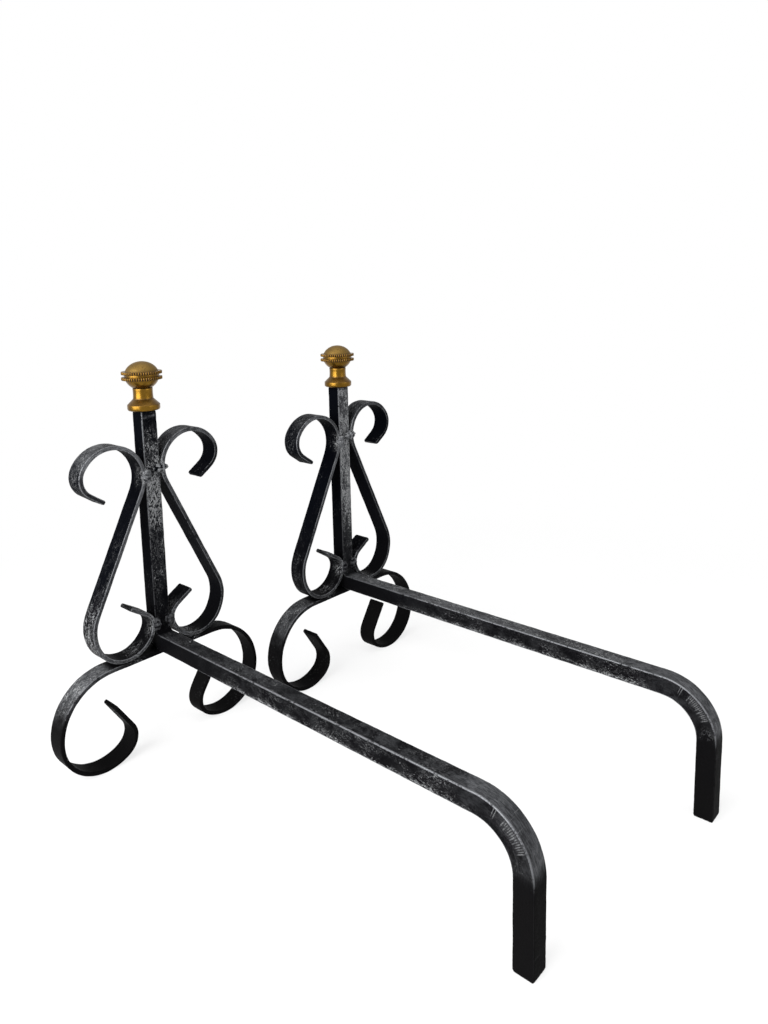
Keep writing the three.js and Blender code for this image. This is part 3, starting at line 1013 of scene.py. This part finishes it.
# The black is painted lighter and warmer near the hearth as painted bounce light from the floor, and
# darker and bluer higher up.
BLACK_COOL = (0.0006, 0.0009, 0.0020, 1)
BLACK_FLOOR_BOUNCE = (0.0037, 0.0035, 0.0035, 1)
FILM_SHEEN_GREY = (0.103, 0.106, 0.113, 1)
WORN_EDGE = (0.120, 0.123, 0.130, 1)
PEWTER_DARK = (0.068, 0.070, 0.074, 1)
PEWTER_BRIGHT = (0.31, 0.315, 0.32, 1)
BRASS_DULL = (0.132, 0.069, 0.0085, 1)
BRASS_BRIGHT = (0.182, 0.097, 0.013, 1)
BRASS_MATTE = (0.138, 0.085, 0.023, 1)
BRASS_PATINA_SHADE = (0.020, 0.008, 0.002, 1)
STEEL_CLEAN = (0.46, 0.46, 0.47, 1)
STEEL_RUSTY = (0.20, 0.13, 0.09, 1)
FLOOR_BOUNCE_FADE = (0.03, 0.22)           # heights between which the painted warm bounce light from the floor fades out of the black
IRON_SPECULAR = 0.004                # the black hardly shines
TURNING_LINES = 5200.0               # turning marks in a metre of the brass


def new_material(name):
    """A material, its node tree, and the inputs of its shader."""
    material = bpy.data.materials.new(name)
    material.use_nodes = True
    tree = material.node_tree
    return material, tree, tree.nodes["Principled BSDF"].inputs


def give_bump(tree, shader, height, strength, depth):
    bump = add(tree, "ShaderNodeBump", Strength=strength, Distance=depth, Height=height)
    feed(tree, shader["Normal"], bump.outputs["Normal"])


def iron_material(name, lumpy):
    """Satin black over forged iron, rubbed to pewter grey, with a painted sheen where the thin
    pewter layer lies and painted bounce light from the floor near the hearth. lumpy is for weld
    metal.
    """
    material, tree, shader = new_material(name)
    place = object_place(tree)
    rubbed_place = place if lumpy else bar_place(tree)
    specks = use_group(tree, "specks", Place=rubbed_place, Cover=attribute(tree, "specks"))
    film = use_group(tree, "film", Place=rubbed_place, Cover=attribute(tree, "film"))["Mask"]
    edge = use_group(tree, "edge", Edge=attribute(tree, "edge"), Amount=1.0)["Mask"]
    scratch = use_group(tree, "scratch", Amount=0.25)["Mask"]
    marks = times(tree, attribute(tree, "marks"), 0.8)
    bare = larger(tree, specks["Mask"], larger(tree, scratch, marks), clamp=True)
    # Painted bounce light: the black is warmer and lighter near the hearth, mixed with a little
    # random tone.
    high_up = ramp(tree, height_of(tree, place), *FLOOR_BOUNCE_FADE)
    bounce_and_tone = weighted(tree, math_node(tree, "SUBTRACT", 1.0, high_up), 0.7,
                      noise_value(tree, place, 24.0, 2.0), 0.3)
    black = mix_colour(tree, bounce_and_tone, BLACK_COOL, BLACK_FLOOR_BOUNCE)
    # Painted sheen: the thin pewter layer turns the black grey where the rub functions lay it,
    # mostly on faces turned up.
    filmed = mix_colour(tree, film, black, FILM_SHEEN_GREY)
    pewter = mix_colour(tree, specks["Tone"], PEWTER_DARK, PEWTER_BRIGHT)
    rubbed = mix_colour(tree, bare, filmed, pewter)
    feed(tree, shader["Base Color"], mix_colour(tree, edge, rubbed, WORN_EDGE))
    bare = larger(tree, bare, edge)
    feed(tree, shader["Metallic"], larger(tree, times(tree, film, 0.5), times(tree, bare, 0.7)))
    satin = mix_value(tree, noise_value(tree, place, 90.0, 3.0, 0.6), 0.36, 0.52)
    feed(tree, shader["Roughness"], satin)
    shader["Specular IOR Level"].default_value = IRON_SPECULAR
    surface = use_group(tree, "surface", Waves=1.8 if lumpy else 1.0,
                        Pits=1.4 if lumpy else 0.9)
    height = plus(tree, surface["Height"], times(tree, bare, 0.12))
    give_bump(tree, shader, height, 0.6, (0.7 if lumpy else 0.35) * MM)
    return material


def brass_material():
    """Aged turned brass: satin gold, brown patina and painted shade in the grooves, between the
    parts and between the knurl teeth, with fine turning marks.
    """
    material, tree, shader = new_material("aged brass with painted groove shade")
    place = object_place(tree)
    cloud = noise_value(tree, place, 70.0, 3.0, 0.6)
    spots = ramp(tree, noise_value(tree, place, 520.0, 3.0, 0.65), 0.50, 0.70)
    matte = attribute(tree, "matte")
    gold = mix_colour(tree, ramp(tree, cloud, 0.35, 0.65), BRASS_DULL, BRASS_BRIGHT)
    gold = mix_colour(tree, matte, gold, BRASS_MATTE)
    # Painted shade and brown patina: grooves, gaps and bores turn brown, duller and rougher, and
    # stains spread more on the matte dome.
    grime = times(tree, attribute(tree, "grime"), mix_value(tree, spots, 0.65, 1.0), clamp=True)
    grime = larger(tree, grime, times(tree, spots, mix_value(tree, matte, 0.10, 0.40)))
    feed(tree, shader["Base Color"], mix_colour(tree, grime, gold, BRASS_PATINA_SHADE))
    feed(tree, shader["Metallic"], mix_value(tree, grime, 1.0, 0.7))
    feed(tree, shader["Roughness"], plus(tree, mix_value(tree, cloud, 0.24, 0.28),
                                         weighted(tree, grime, 0.25, matte, 0.30)))
    up = place_from(tree, Z=times(tree, height_of(tree, place), TURNING_LINES))
    lines = noise_value(tree, up, 1.0, 2.0, 0.5)
    give_bump(tree, shader, weighted(tree, lines, 0.25, spots, -0.12), 0.12, 0.15 * MM)
    return material


def steel_material():
    """Plain threaded steel, dulled and browned by light rust in patches."""
    material, tree, shader = new_material("threaded steel")
    place = object_place(tree)
    stain = ramp(tree, noise_value(tree, place, 260.0, 3.0, 0.6), 0.45, 0.7)
    feed(tree, shader["Base Color"], mix_colour(tree, stain, STEEL_CLEAN, STEEL_RUSTY))
    feed(tree, shader["Metallic"], mix_value(tree, stain, 1.0, 0.4))
    feed(tree, shader["Roughness"], mix_value(tree, stain, 0.30, 0.62))
    return material


# ---------- Building the andirons ----------

def finish_piece(piece, material, body, slot, *nodes):
    piece.data.materials.append(material)
    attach(piece, body)
    if nodes:
        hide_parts(*nodes)


black_iron = iron_material("rubbed black iron with painted sheen", lumpy=False)
weld_iron = iron_material("rubbed weld metal with painted sheen", lumpy=True)
brass = brass_material()
steel = steel_material()


def build_bars(side, body, seed):
    node = f"{side}_main_bar"
    low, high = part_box(node)
    size = high.x - low.x
    section = rounded_section(size, size, BAR_EDGE, 7, 7)
    bar = swept_bar(f"{side}_bar_forged", node, X, section, BAR_STEP, seed,
                    bar_rub_and_sheen(side), jaw_marks(side))
    finish_piece(bar, black_iron, body, "black_iron", node)
    for k, strip in enumerate(("foot_scroll", "outer_scroll", "inner_scroll")):
        node = f"{side}_{strip}"
        _, _, thickness = centre_line(node, Y)
        low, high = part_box(node)
        section = rounded_section(thickness, high.y - low.y, STRIP_EDGE, 3, 9)
        rub_and_sheen = foot_rub_and_sheen(node) if strip == "foot_scroll" else scroll_rub_and_sheen(node)
        piece = swept_bar(f"{node}_forged", node, Y, section, STRIP_STEP, seed + 3 * k + 1,
                          rub_and_sheen)
        finish_piece(piece, black_iron, body, "black_iron", node)


def build_welds(side, body, seed):
    welds = [n for n in sorted(frame["nodes"]) if n.startswith(side) and n.endswith("weld")]
    for k, node in enumerate(welds):
        finish_piece(weld_bead(node, seed + 1.7 * k), weld_iron, body, "weld_iron", node)


def build_finial(side, body):
    finish_piece(stud(side), steel, body, "stud_steel", f"{side}_finial_stud")
    finish_piece(collar(side), brass, f"{side}_collar", "brass", f"{side}_finial_collar")
    finish_piece(knob_ball(side), brass, f"{side}_knob", "brass", f"{side}_finial_knob")
    for label in DISC_HEIGHTS:
        finish_piece(knob_disc(side, label), brass, f"{side}_knob", "brass")


for number, side in enumerate(SIDES):
    seed = 11.0 + 17.0 * number
    build_bars(side, f"{side}_andiron", seed)
    build_welds(side, f"{side}_andiron", seed)
    build_finial(side, f"{side}_andiron")


# ---------- Floor, light and camera ----------

def white_to_rays(tree):
    """1 for the rays that see a background: camera, mirror-like and see-through ones."""
    path = tree.nodes.new("ShaderNodeLightPath")
    mirrored = larger(tree, path.outputs["Is Glossy Ray"], path.outputs["Is Transmission Ray"])
    return larger(tree, path.outputs["Is Camera Ray"], mirrored)


def studio_floor():
    """A plain white floor that keeps the object's soft shadow and fades into the background."""
    mesh = bpy.data.meshes.new("studio_floor")
    corners = [(x * FLOOR_REACH, y * FLOOR_REACH, 0)
               for x, y in ((-1, -1), (1, -1), (1, 1), (-1, 1))]
    mesh.from_pydata(corners, [], [(0, 1, 2, 3)])
    floor = bpy.data.objects.new("studio_floor", mesh)
    floor.location.z = float(cad_box[0][Z]) - FLOOR_DROP
    bpy.context.scene.collection.objects.link(floor)
    material = bpy.data.materials.new("white studio floor")
    material.use_nodes = True
    tree = material.node_tree
    tree.nodes.clear()
    out = tree.nodes.new("ShaderNodeOutputMaterial")
    matte = add(tree, "ShaderNodeBsdfDiffuse", Color=(0.86, 0.86, 0.86, 1))
    glow = add(tree, "ShaderNodeEmission", Color=(1, 1, 1, 1), Strength=1.0)
    away = add(tree, "ShaderNodeVectorMath", operation="LENGTH")
    feed(tree, away.inputs[0], object_place(tree))
    fade = ramp(tree, away.outputs["Value"], FLOOR_NEAR, FLOOR_FAR)
    share = times(tree, mix_value(tree, fade, FLOOR_GLOW, 1.0), white_to_rays(tree))
    mix = tree.nodes.new("ShaderNodeMixShader")
    for socket, value in zip(mix.inputs, (share, matte.outputs[0], glow.outputs[0])):
        feed(tree, socket, value)
    feed(tree, out.inputs["Surface"], mix.outputs[0])
    mesh.materials.append(material)


def studio_world():
    """Soft grey surroundings that light the object, white where they are seen."""
    world = bpy.data.worlds.new("studio")
    bpy.context.scene.world = world
    world.use_nodes = True
    tree = world.node_tree
    background = tree.nodes["Background"]
    feed(tree, background.inputs["Color"], (1, 1, 1, 1))
    feed(tree, background.inputs["Strength"],
         mix_value(tree, white_to_rays(tree), WORLD_LIGHT, 1.0))


def softbox(name, place, target, size, watts):
    light = bpy.data.lights.new(name, "AREA")
    light.shape = "RECTANGLE"
    light.size, light.size_y = size
    light.energy = watts
    lamp = bpy.data.objects.new(name, light)
    lamp.location = place
    aim = Vector(target) - Vector(place)
    lamp.rotation_euler = aim.to_track_quat("-Z", "Y").to_euler()
    bpy.context.scene.collection.objects.link(lamp)


def photo_camera():
    """The camera of the photograph, at its place, tilt and roll, with its own framing."""
    data = bpy.data.cameras.new("photo_camera")
    camera = bpy.data.objects.new("photo_camera", data)
    azimuth, elevation, roll = (math.radians(v) for v in (
        CAMERA_AZIMUTH, CAMERA_ELEVATION, CAMERA_ROLL))
    back = Vector((math.sin(azimuth) * math.cos(elevation),
                   -math.cos(azimuth) * math.cos(elevation), math.sin(elevation)))
    level = back.cross(Vector((0, 0, 1))).normalized() * -1
    upright = level.cross(-back)
    right = math.cos(roll) * level + math.sin(roll) * upright
    up = -math.sin(roll) * level + math.cos(roll) * upright
    post, _, _, _ = middle_of("right_finial_stud")
    place = Vector((post[0], post[1], 0)) + Vector(CAMERA_FROM_POST)
    facing = Matrix((right, up, back)).transposed().to_4x4()
    camera.matrix_world = Matrix.Translation(place) @ facing
    data.sensor_fit = "VERTICAL"
    data.sensor_height = SENSOR_HEIGHT
    data.lens = CAMERA_FOCAL * SENSOR_HEIGHT / FRAME_HEIGHT
    data.shift_x = (FRAME_WIDTH / 2 - CAMERA_CENTRE[0]) / FRAME_HEIGHT
    data.shift_y = (CAMERA_CENTRE[1] - FRAME_HEIGHT / 2) / FRAME_HEIGHT
    data.clip_start = 0.01
    bpy.context.scene.collection.objects.link(camera)
    bpy.context.scene.camera = camera


studio_floor()
studio_world()
for name, (place, target, size, watts) in LAMPS.items():
    softbox(name, place, target, size, watts)
photo_camera()
bpy.context.scene.view_settings.view_transform = "Standard"
